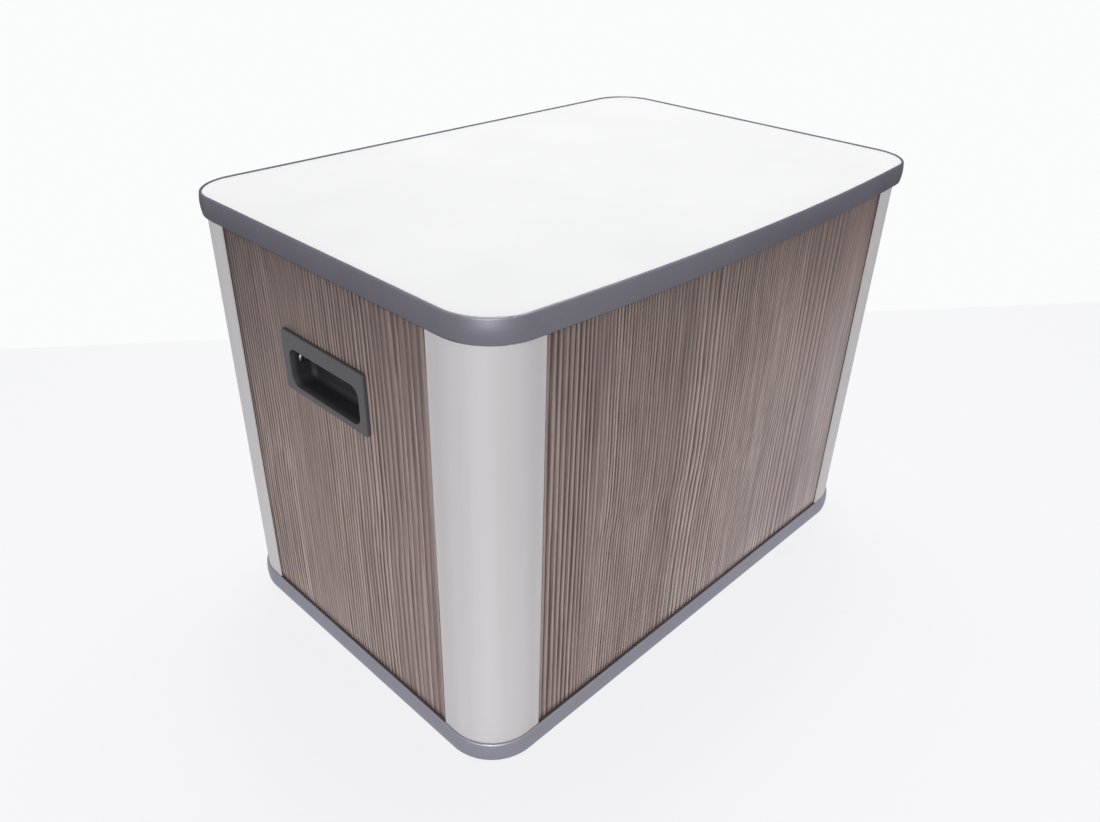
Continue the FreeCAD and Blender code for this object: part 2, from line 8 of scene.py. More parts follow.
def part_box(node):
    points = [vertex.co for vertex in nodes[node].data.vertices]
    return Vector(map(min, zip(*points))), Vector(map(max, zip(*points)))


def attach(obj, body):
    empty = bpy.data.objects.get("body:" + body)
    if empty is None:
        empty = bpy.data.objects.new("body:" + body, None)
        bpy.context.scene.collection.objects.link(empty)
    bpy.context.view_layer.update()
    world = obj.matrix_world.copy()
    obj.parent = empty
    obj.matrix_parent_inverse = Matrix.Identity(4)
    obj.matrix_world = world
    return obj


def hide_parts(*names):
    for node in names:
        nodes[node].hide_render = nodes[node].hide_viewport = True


# Box for camper furniture: wood-decor walls in rounded aluminium corner posts, a plastic-edged base and a
# bow-fronted white lid. Metres; X is the long side, -Y the front, +Z up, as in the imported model.

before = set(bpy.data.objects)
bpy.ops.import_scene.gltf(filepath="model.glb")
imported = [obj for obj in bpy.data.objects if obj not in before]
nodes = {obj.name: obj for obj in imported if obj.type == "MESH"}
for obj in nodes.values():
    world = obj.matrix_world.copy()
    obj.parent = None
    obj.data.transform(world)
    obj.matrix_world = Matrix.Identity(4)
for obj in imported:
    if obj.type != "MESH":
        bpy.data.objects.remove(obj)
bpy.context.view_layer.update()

MM = 0.001
SAME_POINT = 0.01 * MM
UP = Vector((0, 0, 1))
CORNERS = ("front_left", "front_right", "back_right", "back_left")

# ---- camera
IMAGE_WIDTH = 1100
SENSOR_WIDTH = 36.0
FOCAL_PIXELS = 906.35
CAMERA_PLACE = (-0.5572, -0.5078, 0.5929)
CAMERA_TURN = (58.534, -1.271, -45.518)      # degrees about X, Y and Z
AXIS_BELOW_MIDDLE = 10.58                    # pixels from the picture's middle down to the lens axis
AXIS_LEFT_OF_MIDDLE = 0.45

# ---- light and stage
WORLD_LIGHT = 0.12                           # strength of the world's light; seen directly it's 1
STAGE_REACH = 30.0
FLOOR_LEVEL = -0.2 * MM                      # just clear of the box's underside
FLOOR_SHEET_RADIUS = 0.6                     # white paper round the box; beyond it the room is darker
FLOOR_SHEET_EDGE = 0.3                       # how softly the sheet ends
FLOOR_COLOUR = (0.98, 0.98, 1.0)
FLOOR_LIFT = 0.8                             # share of FLOOR_COLOUR seen in the near floor
FAR_FLOOR_LIFT = 0.97                        # and in the far floor
FLOOR_LIFT_SPAN = (1.2, 4.0)                 # where the near floor ends and the far one starts
BACKDROP_COLOUR = (0.965, 0.968, 0.97)
BACKDROP_DISTANCE = 0.4915                   # from the middle of the box to the backdrop
BACKDROP_DIRECTION = 52.82                   # degrees from +X
LAMPS = (                                    # name, place, aim, width, height, power
    ("ceiling_lamp", (0.6, 0.5, 2.75), (0, 0, 0.2), 1.8, 1.8, 49.0),
    ("window_lamp", (-4.0, -3.65, 2.1), (0, 0, 0.19), 3.1, 3.9, 250.0),
)

# ---- sheets
VENEER = 1.42 * MM                           # of the plywood
RIB_DEPTH = 0.28 * MM                        # of the decor's relief
ROW_STEP = 7.0 * MM                          # of the relief's grid, up the wall
COLUMNS_PER_RIB = 8                          # of the same grid, across a growth ring
DECOR_THICKNESS = 0.8 * MM
HANDLE_HOLE_MARGIN = 3.0 * MM                # how far the decor's hole stays inside the handle's flange
POCKET_PAINTED_SHADE = (2.5 * MM, 6.0 * MM)        # depths in the handle where its painted shade starts and is full


# ======== short forms for node trees ========

def plug(socket, value):
    """Links a socket to another, or sets its own value."""
    if isinstance(value, bpy.types.NodeSocket):
        socket.id_data.links.new(value, socket)
    else:
        socket.default_value = value


class Net:
    """Adds nodes to a tree; each input is a value or another node's output."""

    def __init__(self, tree):
        self.tree = tree

    def add(self, kind, inputs=None, **settings):
        node = self.tree.nodes.new(kind)
        for name, value in settings.items():
            setattr(node, name, value)
        for name, value in (inputs or {}).items():
            plug(node.inputs[name], value)
        return node

    def math(self, operation, a, b=0.0, clamp=False):
        node = self.add("ShaderNodeMath", {0: a, 1: b}, operation=operation, use_clamp=clamp)
        return node.outputs[0]

    def remap(self, value, low, high, new_low=0.0, new_high=1.0):
        node = self.add("ShaderNodeMapRange", {"Value": value, "From Min": low, "From Max": high,
                                               "To Min": new_low, "To Max": new_high})
        return node.outputs[0]

    def curve(self, value, points, low=0.0):
        """Smooth curve through points from (0, y) to (1, y); low is the least y that it may reach."""
        node = self.add("ShaderNodeFloatCurve", {"Value": value})
        node.mapping.clip_min_y = low
        node.mapping.clip_max_y = 2.0
        line = node.mapping.curves[0]
        line.points[0].location = points[0]
        line.points[1].location = points[-1]
        for point in points[1:-1]:
            line.points.new(*point)
        node.mapping.update()
        return node.outputs[0]

    def mix(self, factor, a, b, blend="MIX"):
        node = self.add("ShaderNodeMix", data_type="RGBA", blend_type=blend)
        plug(node.inputs[0], factor)
        plug(node.inputs[6], a)
        plug(node.inputs[7], b)
        return node.outputs[2]

    def ramp(self, value, stops):
        node = self.add("ShaderNodeValToRGB", {"Fac": value})
        elements = node.color_ramp.elements
        elements[0].position, elements[0].color = stops[0][0], stops[0][1]
        elements[1].position, elements[1].color = stops[-1][0], stops[-1][1]
        for place, colour in stops[1:-1]:
            elements.new(place).color = colour
        return node.outputs["Color"]

    def two_tone(self, value, dark, light):
        return self.ramp(value, [(0.3, dark), (0.7, light)])

    def object_coords(self, scale=(1, 1, 1)):
        coords = self.add("ShaderNodeTexCoord").outputs["Object"]
        return self.add("ShaderNodeMapping", {"Vector": coords, "Scale": scale}).outputs[0]

    def object_axis(self, axis):
        coords = self.add("ShaderNodeTexCoord").outputs["Object"]
        return self.add("ShaderNodeSeparateXYZ", {0: coords}).outputs[axis]

    def noise(self, vector, scale=1.0, detail=2.0, roughness=0.5):
        node = self.add("ShaderNodeTexNoise", {"Vector": vector, "Scale": scale, "Detail": detail,
                                               "Roughness": roughness})
        return node.outputs[0]

    def bump(self, height, strength, distance):
        node = self.add("ShaderNodeBump", {"Height": height, "Strength": strength, "Distance": distance})
        return node.outputs[0]


def rgb(red, green, blue):
    """Linear colour from 8-bit sRGB values."""
    def linear(value):
        share = value / 255
        return share / 12.92 if share <= 0.04045 else ((share + 0.055) / 1.055) ** 2.4
    return (linear(red), linear(green), linear(blue), 1.0)


def new_material(name, **inputs):
    """A material with one Principled shader and its net; inputs set the shader's own sockets."""
    material = bpy.data.materials.new(name)
    material.use_nodes = True
    net = Net(material.node_tree)
    shader = material.node_tree.nodes["Principled BSDF"]
    for socket, value in inputs.items():
        plug(shader.inputs[socket.replace("_", " ")], value)
    return material, net, shader


def set_surface(shader, colour, roughness=None, normal=None):
    """Plugs what is given into the shader."""
    for socket, value in (("Base Color", colour), ("Roughness", roughness), ("Normal", normal)):
        if value is not None:
            plug(shader.inputs[socket], value)


# ======== finishes ========

def white_laminate():
    material, net, shader = new_material("white_laminate", Roughness=0.5, Specular_IOR_Level=0.3)
    cloud = net.noise(net.object_coords(), 9.0)
    pearl = net.noise(net.object_coords(), 1400.0, 1.0)
    set_surface(shader, net.two_tone(cloud, rgb(243, 243, 244), rgb(247, 247, 247)),
                normal=net.bump(pearl, 0.04, 0.0002))
    return material


def edge_plastic(name, dark, light, edge_tint):
    """Satin grey plastic of the edge mouldings; edge_tint is how much it reflects at a low angle."""
    material, net, shader = new_material(name, Metallic=0.95, Specular_IOR_Level=1.0,
                                         Specular_Tint=(edge_tint, edge_tint, edge_tint, 1.0))
    coords = net.object_coords()
    cloud = net.noise(coords, 14.0, 3.0)
    speck = net.noise(coords, 1900.0, 2.0)
    base = net.two_tone(cloud, dark, light)
    fleck = net.remap(speck, 0.3, 0.7, 0.93, 1.05)
    set_surface(shader, net.mix(1.0, base, fleck, "MULTIPLY"), net.remap(cloud, 0.2, 0.8, 0.4, 0.46),
                net.bump(speck, 0.1, 0.0002))
    return material


def anodised_aluminium():
    """Satin extrusion with fine draw lines along its length."""
    material, net, shader = new_material("post_aluminium", Metallic=0.35)
    fine = net.noise(net.object_coords((1500, 1500, 6)), 1.0, 3.0, 0.6)
    broad = net.noise(net.object_coords((60, 60, 0.8)), 1.0, 2.0)
    base = net.two_tone(broad, rgb(201, 197, 199), rgb(205, 202, 205))
    line = net.remap(fine, 0.25, 0.75, 0.985, 1.012)
    set_surface(shader, net.mix(1.0, base, line, "MULTIPLY"), net.remap(fine, 0.2, 0.8, 0.68, 0.76),
                net.bump(fine, 0.05, 0.0002))
    return material


def ring_height(net, ring):
    """Height across a growth ring (slow rise, narrow crest, steep fall to the dark line), and a random
    number between 0 and 1 that is the ring's own."""
    chance = net.add("ShaderNodeTexWhiteNoise", {"W": net.math("FLOOR", ring)},
                     noise_dimensions="1D").outputs["Value"]
    height = net.curve(net.math("FRACT", ring), [(0, 0.02), (0.12, 0.16), (0.3, 0.52), (0.5, 0.66),
                                                 (0.68, 1.0), (0.8, 0.94), (0.92, 0.25), (1, 0.02)])
    return height, chance


def wood_decor():
    """Embossed larch decor; the sheet's attributes give its growth rings, their strength and the tone, which
    carries the decor's own tone with painted light and painted shade.
    """
    material, net, shader = new_material("wood_decor", Specular_IOR_Level=0.3)
    ring, strength, tone = [net.add("ShaderNodeAttribute", attribute_name=name).outputs["Fac"]
                            for name in ("ring", "strength", "tone")]
    fibre = net.noise(net.object_coords((1150, 1150, 20)), 1.0, 3.0, 0.65)
    streak = net.noise(net.object_coords((420, 420, 9)), 1.0, 2.0)
    cloud = net.noise(net.object_coords((24, 24, 6)), 1.0, 3.0)
    pores = net.noise(net.object_coords((1000, 1000, 80)), 1.0, 1.0)
    wavering = net.math("ADD", ring, net.remap(streak, 0.2, 0.8, -0.2, 0.2))
    height, chance = ring_height(net, wavering)
    depth = net.math("MULTIPLY", strength, net.remap(chance, 0, 1, 0.95, 1.6))
    level = net.math("ADD", net.math("MULTIPLY", net.math("SUBTRACT", height, 0.53), depth), 0.56)
    level = net.math("ADD", level, net.remap(fibre, 0.2, 0.8, -0.24, 0.24))
    level = net.math("ADD", level, net.remap(streak, 0.2, 0.8, -0.13, 0.13))
    base = net.ramp(level, [(0.0, rgb(75, 57, 55)), (0.25, rgb(103, 85, 81)), (0.6, rgb(140, 121, 117)),
                            (1.0, rgb(174, 157, 151))])
    grey = net.add("ShaderNodeRGBToBW", {0: base}).outputs[0]
    base = net.mix(net.remap(tone, 1.0, 1.4, 0.0, 0.45), base, grey)      # paler wood is greyer; where the paleness is painted light, this greying is a painted sheen
    shade = net.math("MULTIPLY", tone, net.remap(cloud, 0.25, 0.75, 0.94, 1.19))
    shade = net.math("MULTIPLY", shade, net.remap(pores, 0.28, 0.4, 0.8, 1.0))
    set_surface(shader, net.mix(1.0, base, shade, "MULTIPLY"), net.remap(fibre, 0.2, 0.8, 0.46, 0.62),
                net.bump(level, 0.35, 0.0004))
    return material


def plywood(name, axis, grain_axis, face):
    """Veneers stacked along one axis, counted from the sheet's face; the outer veneer shows its grain."""
    material, net, shader = new_material(name, Roughness=0.6)
    stretch = [300.0, 300.0, 300.0]
    stretch[grain_axis] = 5.0
    grain = net.noise(net.object_coords(stretch), 1.0, 4.0, 0.6)
    depth = net.math("ABSOLUTE", net.math("SUBTRACT", net.object_axis(axis), face))
    layer = net.math("MODULO", depth, 2 * VENEER)
    dark = net.math("GREATER_THAN", layer, VENEER)
    veneer = net.ramp(grain, [(0.25, rgb(204, 180, 143)), (0.55, rgb(222, 201, 168)),
                              (0.8, rgb(230, 212, 182))])
    colour = net.mix(net.math("MULTIPLY", dark, 0.55), veneer, rgb(158, 124, 86))
    set_surface(shader, colour, normal=net.bump(grain, 0.2, 0.0003))
    return material


def dark_base_board():
    """Dark brown grain on the faces of the base board, darker than the walls' decor."""
    material, net, shader = new_material("base_board", Roughness=0.5)
    grain = net.noise(net.object_coords((6, 300, 300)), 1.0, 4.0, 0.6)
    set_surface(shader, net.two_tone(grain, rgb(74, 64, 60), rgb(94, 83, 78)),
                normal=net.bump(grain, 0.15, 0.0002))
    return material


def handle_plastic():
    """Black moulded plastic, finely grained, more matt in the pocket than on the flange; the pocket going
    near black with depth is painted shade.
    """
    material, net, shader = new_material("handle_plastic", Specular_IOR_Level=0.5)
    grain = net.noise(net.object_coords(), 1500.0, 2.0)
    cloud = net.noise(net.object_coords(), 45.0, 2.0)
    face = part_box("right_handle")[1].x
    start, full = POCKET_PAINTED_SHADE
    # painted shade: the plastic goes near black deeper in the pocket
    pocket_shade_mask = net.remap(net.math("ABSOLUTE", net.object_axis(0)), face - full, face - start, 1.0, 0.0)
    plastic = net.two_tone(cloud, rgb(62, 62, 65), rgb(68, 67, 70))
    roughness = net.math("ADD", net.remap(cloud, 0.3, 0.7, 0.44, 0.52), net.math("MULTIPLY", pocket_shade_mask, 0.2))
    set_surface(shader, net.mix(pocket_shade_mask, plastic, rgb(17, 17, 20)), roughness, net.bump(grain, 0.3, 0.0002))
    return material


def black_rubber():
    material, net, shader = new_material("gasket")
    dust = net.noise(net.object_coords(), 500.0, 3.0)
    set_surface(shader, net.two_tone(dust, rgb(28, 26, 26), rgb(38, 36, 35)),
                net.remap(dust, 0.3, 0.7, 0.6, 0.75))
    return material


def soft_plastic():
    """Milky bumper discs."""
    material, net, shader = new_material("bumper", Subsurface_Weight=0.2)
    cloud = net.noise(net.object_coords(), 300.0, 2.0)
    set_surface(shader, net.two_tone(cloud, rgb(196, 197, 192), rgb(208, 209, 205)),
                net.remap(cloud, 0.3, 0.7, 0.3, 0.4))
    return material


def plated_steel(name, brush_scale, dark, light):
    """Plated steel with brush marks, fine along each axis where brush_scale is large."""
    material, net, shader = new_material(name, Metallic=1.0)
    brush = net.noise(net.object_coords(brush_scale), 1.0, 3.0, 0.6)
    set_surface(shader, net.two_tone(brush, dark, light), net.remap(brush, 0.2, 0.8, 0.22, 0.36),
                net.bump(brush, 0.05, 0.0001))
    return material


# ======== shared mesh helpers ========

def mesh_object(name, mesh):
    piece = bpy.data.objects.new(name, mesh)
    bpy.context.scene.collection.objects.link(piece)
    return piece


def bmesh_object(name, work):
    mesh = bpy.data.meshes.new(name)
    work.to_mesh(mesh)
    work.free()
    return mesh_object(name, mesh)


def take_mesh(source, name):
    """A plain object with the source's shape after its modifiers; the source goes."""
    depsgraph = bpy.context.evaluated_depsgraph_get()
    mesh = bpy.data.meshes.new_from_object(source.evaluated_get(depsgraph), depsgraph=depsgraph)
    mesh.name = name
    bpy.data.objects.remove(source)
    return mesh_object(name, mesh)


def tree_modifier(target, tree, values):
    """Puts a geometry tree on the target and sets its named inputs."""
    modifier = target.modifiers.new(tree.name, "NODES")
    modifier.node_group = tree
    for item in tree.interface.items_tree:
        if item.item_type == "SOCKET" and item.name in values:
            modifier[item.identifier] = values[item.name]


def geometry_tree(name, inputs):
    """An empty geometry tree with a geometry input and output and named inputs."""
    tree = bpy.data.node_groups.new(name, "GeometryNodeTree")
    tree.interface.new_socket("Geometry", in_out="INPUT", socket_type="NodeSocketGeometry")
    for label, kind in inputs:
        tree.interface.new_socket(label, in_out="INPUT", socket_type=kind)
    tree.interface.new_socket("Geometry", in_out="OUTPUT", socket_type="NodeSocketGeometry")
    net = Net(tree)
    return tree, net, net.add("NodeGroupInput").outputs, net.add("NodeGroupOutput").inputs


def finish_tree(net, geometry, material, output):
    """Makes instances real, gives them the material and ends the tree."""
    real = net.add("GeometryNodeRealizeInstances", {"Geometry": geometry}).outputs[0]
    painted = net.add("GeometryNodeSetMaterial", {"Geometry": real, "Material": material}).outputs[0]
    plug(output[0], painted)


def solids(node):
    """The (lowest, highest) corners of each separate solid of a CAD node."""
    work = bmesh.new()
    work.from_mesh(nodes[node].data)
    bmesh.ops.remove_doubles(work, verts=work.verts, dist=SAME_POINT)
    left, boxes = set(work.verts), []
    while left:
        group, frontier = set(), [left.pop()]
        while frontier:
            vertex = frontier.pop()
            group.add(vertex)
            for edge in vertex.link_edges:
                other = edge.other_vert(vertex)
                if other in left:
                    left.discard(other)
                    frontier.append(other)
        spans = [[vertex.co[axis] for vertex in group] for axis in range(3)]
        boxes.append((Vector([min(span) for span in spans]), Vector([max(span) for span in spans])))
    work.free()
    return sorted(boxes, key=lambda pair: tuple(pair[0]))


# ======== embossed wood decor on the four walls ========

# Each wall's grain. "pitch" is the mean step from ring to ring. Four curves run from the wall's left edge to
# its right edge, seen from outside: "spread" places the rings, "strength" says how deep they are,
# "wander_share" how much of "wander" they stray, and "tone" how bright they are: the decor's
# own tone, and painted light that makes the front wall lighter toward its right end. "sway" runs from the
# wall's foot to its top and says which way they stray. "painted_shade" is the power of
# PAINTED_SHADE_BY_HEIGHT, the painted shade toward the lid, at the left and right edges.
FRONT_GRAIN = {
    "pitch": 4.2 * MM, "wander": 5.5 * MM, "seed": 3.0, "painted_shade": (1.2, 4.6),
    "spread": [(0, 0), (0.14, 0.12), (0.34, 0.37), (0.5, 0.5), (0.6, 0.63), (0.72, 0.8), (0.86, 0.88),
               (1, 1)],
    "strength": [(0, 1.0), (0.125, 1.0), (0.148, 0.42), (0.17, 0.5), (0.19, 1.0), (0.33, 0.7),
                 (0.355, 0.72), (0.5, 0.8), (0.56, 0.88), (0.6, 0.85), (0.7, 0.68), (0.74, 0.52),
                 (0.84, 0.45), (0.88, 0.2), (1, 0.12)],
    "wander_share": [(0, 0), (0.12, 0.1), (0.18, 0.8), (0.36, 1.0), (0.55, 0.9), (0.75, 0.4),
                     (0.94, 0.1), (1, 0)],
    "sway": [(0, -0.8), (0.2, -0.6), (0.4, -0.1), (0.6, 0.7), (0.8, 0.35), (1, 0.0)],
    "tone": [(0, 0.88), (0.13, 0.92), (0.16, 1.03), (0.22, 0.98), (0.33, 0.94), (0.36, 0.9), (0.4, 1.06),
             (0.5, 1.06), (0.6, 1.18), (0.72, 1.22), (0.76, 1.18), (0.84, 1.26), (0.9, 1.45), (1, 1.5)],
}
LEFT_GRAIN = {
    "pitch": 4.4 * MM, "wander": 4.0 * MM, "seed": 11.0, "painted_shade": (3.9, 1.4),
    "spread": [(0, 0), (0.25, 0.28), (0.45, 0.5), (0.7, 0.78), (0.8, 0.86), (1, 1)],
    "strength": [(0, 1.0), (0.17, 1.0), (0.2, 1.3), (0.25, 0.6), (0.3, 0.35), (0.43, 0.35), (0.47, 0.82),
                 (0.7, 0.75), (0.75, 0.5), (0.86, 0.5), (1, 0.62)],
    "wander_share": [(0, 0), (0.1, 0.5), (0.22, 1.0), (0.45, 0.5), (0.76, 0.9), (0.93, 0.3), (1, 0)],
    "sway": [(0, 0.2), (0.3, -0.3), (0.6, 0.6), (0.85, 0.2), (1, -0.4)],
    "tone": [(0, 0.78), (0.17, 0.82), (0.2, 0.97), (0.235, 1.07), (0.26, 0.96), (0.44, 0.98), (0.5, 0.99),
             (0.7, 0.94), (0.72, 1.02), (0.76, 0.84), (0.8, 0.92), (1, 0.84)],
}
# painted shade: the decor's brightness from a wall's foot to its top, darker toward the lid
PAINTED_SHADE_BY_HEIGHT = [(0, 1.08), (0.1, 1.03), (0.4, 1.01), (0.65, 0.98), (0.85, 0.9), (1, 0.8)]


def rib_tree(grain):
    """Grid that follows the growth rings: ribs in the sheet's depth, attributes for its colours, with
    painted shade toward the lid in the tone.
    """
    tree, net, given, output = geometry_tree("ribs", [
        ("Width", "NodeSocketFloat"), ("Height", "NodeSocketFloat"), ("Ribs", "NodeSocketFloat"),
        ("Columns", "NodeSocketInt"), ("Rows", "NodeSocketInt"), ("Depth", "NodeSocketFloat"),
        ("Wander", "NodeSocketFloat"), ("Seed", "NodeSocketFloat"), ("Material", "NodeSocketMaterial")])
    grid = net.add("GeometryNodeMeshGrid", {"Size X": given["Width"], "Size Y": given["Height"],
                                            "Vertices X": given["Columns"], "Vertices Y": given["Rows"]})
    spot = net.add("ShaderNodeSeparateXYZ", {0: net.add("GeometryNodeInputPosition").outputs[0]})
    across, up = spot.outputs[0], spot.outputs[1]
    along = net.math("ADD", net.math("DIVIDE", across, given["Width"]), 0.5, clamp=True)
    raised = net.math("ADD", net.math("DIVIDE", up, given["Height"]), 0.5, clamp=True)

    def drift(across_scale, up_scale, shift):
        """Smooth noise between -1 and 1."""
        place = net.add("ShaderNodeCombineXYZ", {
            0: net.math("MULTIPLY", across, across_scale), 1: net.math("MULTIPLY", up, up_scale),
            2: net.math("ADD", given["Seed"], shift)})
        return net.remap(net.noise(place.outputs[0], 1.0, 1.0), 0.2, 0.8, -1.0, 1.0)

    uneven = net.math("ADD", net.math("MULTIPLY", drift(26.0, 0.6, 0.3), 0.4),
                      net.math("MULTIPLY", drift(120.0, 1.5, 2.9), 0.14))
    ring = net.math("ADD", net.math("MULTIPLY", net.curve(along, grain["spread"]), given["Ribs"]), uneven)
    ring = net.math("ADD", ring, net.math("MULTIPLY", given["Seed"], 40.0))
    height, chance = ring_height(net, ring)
    strength = net.math("MULTIPLY", net.curve(along, grain["strength"]),
                        net.remap(drift(22.0, 5.0, 1.7), -1, 1, 0.75, 1.2), clamp=True)
    # tone: the decor's own tone, with painted light that lightens the front wall toward its right end
    tone = net.math("MULTIPLY", net.curve(along, grain["tone"]), net.remap(chance, 0, 1, 0.95, 1.05))
    # painted shade toward the lid, strongest at the front wall's right end and the left wall's left end
    painted_shade = net.math("POWER", net.curve(raised, PAINTED_SHADE_BY_HEIGHT), net.remap(along, 0, 1, *grain["painted_shade"]))
    tone = net.math("MULTIPLY", tone, painted_shade)
    stored = grid.outputs[0]
    for name, value in (("ring", ring), ("strength", strength), ("tone", tone)):
        stored = net.add("GeometryNodeStoreNamedAttribute", {"Geometry": stored, "Name": name,
                                                             "Value": value}).outputs[0]
    sway = net.math("ADD", net.curve(raised, grain["sway"], low=-1.0),
                    net.math("MULTIPLY", drift(9.0, 7.0, 5.1), 0.3))
    stray = net.math("MULTIPLY", net.curve(along, grain["wander_share"]), given["Wander"])
    relief = net.math("MULTIPLY", net.math("MULTIPLY", net.math("SUBTRACT", height, 1.0), strength),
                      given["Depth"])
    offset = net.add("ShaderNodeCombineXYZ", {0: net.math("MULTIPLY", stray, sway), 2: relief}).outputs[0]
    moved = net.add("GeometryNodeSetPosition", {"Geometry": stored, "Offset": offset}).outputs[0]
    finish_tree(net, moved, given["Material"], output)
    return tree


def cut_rectangle(work, low, high, across):
    """Removes the part of an upright sheet between two corners; each cut runs along a plane."""
    for corner in (low, high):
        for normal in (across, UP):
            geometry = work.verts[:] + work.edges[:] + work.faces[:]
            bmesh.ops.bisect_plane(work, geom=geometry, plane_co=corner, plane_no=normal, dist=1e-7)
    inside = [face for face in work.faces
              if all(low[axis] < face.calc_center_median()[axis] < high[axis] for axis in range(3))]
    bmesh.ops.delete(work, geom=inside, context="FACES")


def close_sheet(work, inwards):
    """Gives an open sheet its rims and its flat back, made in the order of its edges."""
    axis = max(range(3), key=lambda index: abs(inwards[index]))
    face_level = max(vertex.co[axis] * -inwards[axis] for vertex in work.verts) * -inwards[axis]
    behind = {}

    def vertex_behind(vertex):
        if vertex not in behind:
            place = vertex.co.copy()
            place[axis] = face_level + inwards[axis] * DECOR_THICKNESS
            behind[vertex] = work.verts.new(place, vertex)
        return behind[vertex]

    back_rims = []
    for edge in [edge for edge in work.edges if edge.is_boundary]:
        first, second = edge.verts
        back_first, back_second = vertex_behind(first), vertex_behind(second)
        work.faces.new((first, second, back_second, back_first))
        back_rims.append(work.edges.get((back_first, back_second)))
    bmesh.ops.triangle_fill(work, edges=back_rims, use_beauty=False)
    bmesh.ops.recalc_face_normals(work, faces=work.faces)


def decor_sheet(side, grain, outwards, material):
    """Replaces a wall's plain decor by an embossed one of the same size."""
    low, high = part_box(side + "_panel_laminate")
    size, middle = high - low, (high + low) / 2
    across = UP.cross(outwards)
    width = abs(size.dot(across))
    face = middle + outwards * abs(size.dot(outwards)) / 2
    ribs = round(width / grain["pitch"])
    source = mesh_object("sheet", bpy.data.meshes.new("sheet"))
    tree_modifier(source, rib_tree(grain), {
        "Width": width, "Height": size.z, "Ribs": float(ribs), "Columns": ribs * COLUMNS_PER_RIB,
        "Rows": round(size.z / ROW_STEP), "Depth": RIB_DEPTH, "Wander": grain["wander"],
        "Seed": grain["seed"], "Material": material})
    sheet = take_mesh(source, side + "_wood_decor")
    place = Matrix((across, UP, outwards)).transposed().to_4x4()
    sheet.data.transform(Matrix.Translation(face) @ place)
    work = bmesh.new()
    work.from_mesh(sheet.data)
    if side in ("left", "right"):
        flange_low, flange_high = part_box(side + "_handle")
        margin = Vector((0, HANDLE_HOLE_MARGIN, HANDLE_HOLE_MARGIN))
        cut_rectangle(work, flange_low + margin, flange_high - margin, Vector((0, 1, 0)))
    close_sheet(work, -outwards)
    work.to_mesh(sheet.data)
    work.free()
    sheet.data.shade_smooth()
    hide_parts(side + "_panel_laminate")
    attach(sheet, "box")


# ======== screws ========

SCREW_SIDES = 32
SCREW_SPIN = 0.7                             # radians from each screw's cross to the next one's
CROSS_REACH = 0.62                           # of the head's radius
CROSS_WIDTH = 0.2                            # of the head's radius
CROSS_DEPTH = 0.9                            # of the head's height
CROSS_TAPER = 0.45                           # size of the recess's floor against its mouth
DOME_RIM = 0.35                              # straight part of a domed head's height


def lathe(name, outline):
    """Solid of revolution about Z from (radius, height) points, both ends on the axis."""
    work = bmesh.new()
    rings = []
    for radius, height in outline:
        if radius == 0:
            rings.append([work.verts.new((0, 0, height))])
            continue
        turns = [2 * math.pi * index / SCREW_SIDES for index in range(SCREW_SIDES)]
        rings.append([work.verts.new((radius * math.cos(turn), radius * math.sin(turn), height))
                      for turn in turns])
    for lower, upper in zip(rings, rings[1:]):
        for index in range(SCREW_SIDES):
            after = (index + 1) % SCREW_SIDES
            corners = [lower[index % len(lower)], lower[after % len(lower)],
                       upper[after % len(upper)], upper[index % len(upper)]]
            work.faces.new(list(dict.fromkeys(corners)))
    bmesh.ops.recalc_face_normals(work, faces=work.faces)
    return bmesh_object(name, work)


def cross_cutter(radius, top, depth):
    """Two crossed wedges that narrow downwards."""
    work = bmesh.new()
    for turn in (0, math.pi / 2):
        made = bmesh.ops.create_cube(work, size=1.0)["verts"]
        for vertex in made:
            upper = vertex.co.z > 0
            narrow = 1.0 if upper else CROSS_TAPER
            vertex.co.x *= 2 * radius * CROSS_REACH * narrow
            vertex.co.y *= 2 * radius * CROSS_WIDTH * narrow
            vertex.co.z = top + depth * 0.2 if upper else top - depth
        bmesh.ops.rotate(work, verts=made, cent=(0, 0, 0), matrix=Matrix.Rotation(turn, 3, "Z"))
    return bmesh_object("cross", work)


def screw_shape(head_radius, head_height, shank_radius, length, domed):
    """A screw that points down -Z, with its head's face at z = 0 or, domed, its seat there."""
    if domed:
        bow = [(head_radius * math.cos(turn), head_height * (DOME_RIM + (1 - DOME_RIM) * math.sin(turn)))
               for turn in (0, 0.3, 0.6, 0.9, 1.2)]
        outline = [(0, head_height)] + bow[::-1] + [(head_radius, 0), (shank_radius, 0)]
        top = head_height
    else:
        outline = [(0, 0), (head_radius * 0.97, 0), (head_radius, -0.15 * head_height),  # eased rim
                   (shank_radius, -head_height)]
        top = 0.0
    outline += [(shank_radius, -length + 1.5 * shank_radius), (0, -length)]
    screw = lathe("screw", outline)
    cutter = cross_cutter(head_radius, top, head_height * CROSS_DEPTH)
    boolean = screw.modifiers.new("recess", "BOOLEAN")
    boolean.operation = "DIFFERENCE"
    boolean.object = cutter
    boolean.solver = "EXACT"
    boolean.use_self = True                  # because the two wedges cross
    shape = take_mesh(screw, "screw_shape")
    bpy.data.objects.remove(cutter)
    return shape


def screw_tree():
    """One screw on each point, turned by the points' own rotation attribute."""
    tree, net, given, output = geometry_tree("screws", [
        ("Screw", "NodeSocketObject"), ("Material", "NodeSocketMaterial")])
    shape = net.add("GeometryNodeObjectInfo", {"Object": given["Screw"]}).outputs["Geometry"]
    turn = net.add("GeometryNodeInputNamedAttribute", {"Name": "turn"}, data_type="FLOAT_VECTOR")
    rotation = net.add("FunctionNodeEulerToRotation", {0: turn.outputs[0]}).outputs[0]
    placed = net.add("GeometryNodeInstanceOnPoints", {"Points": given["Geometry"], "Instance": shape,
                                                      "Rotation": rotation}).outputs[0]
    finish_tree(net, placed, given["Material"], output)
    return tree


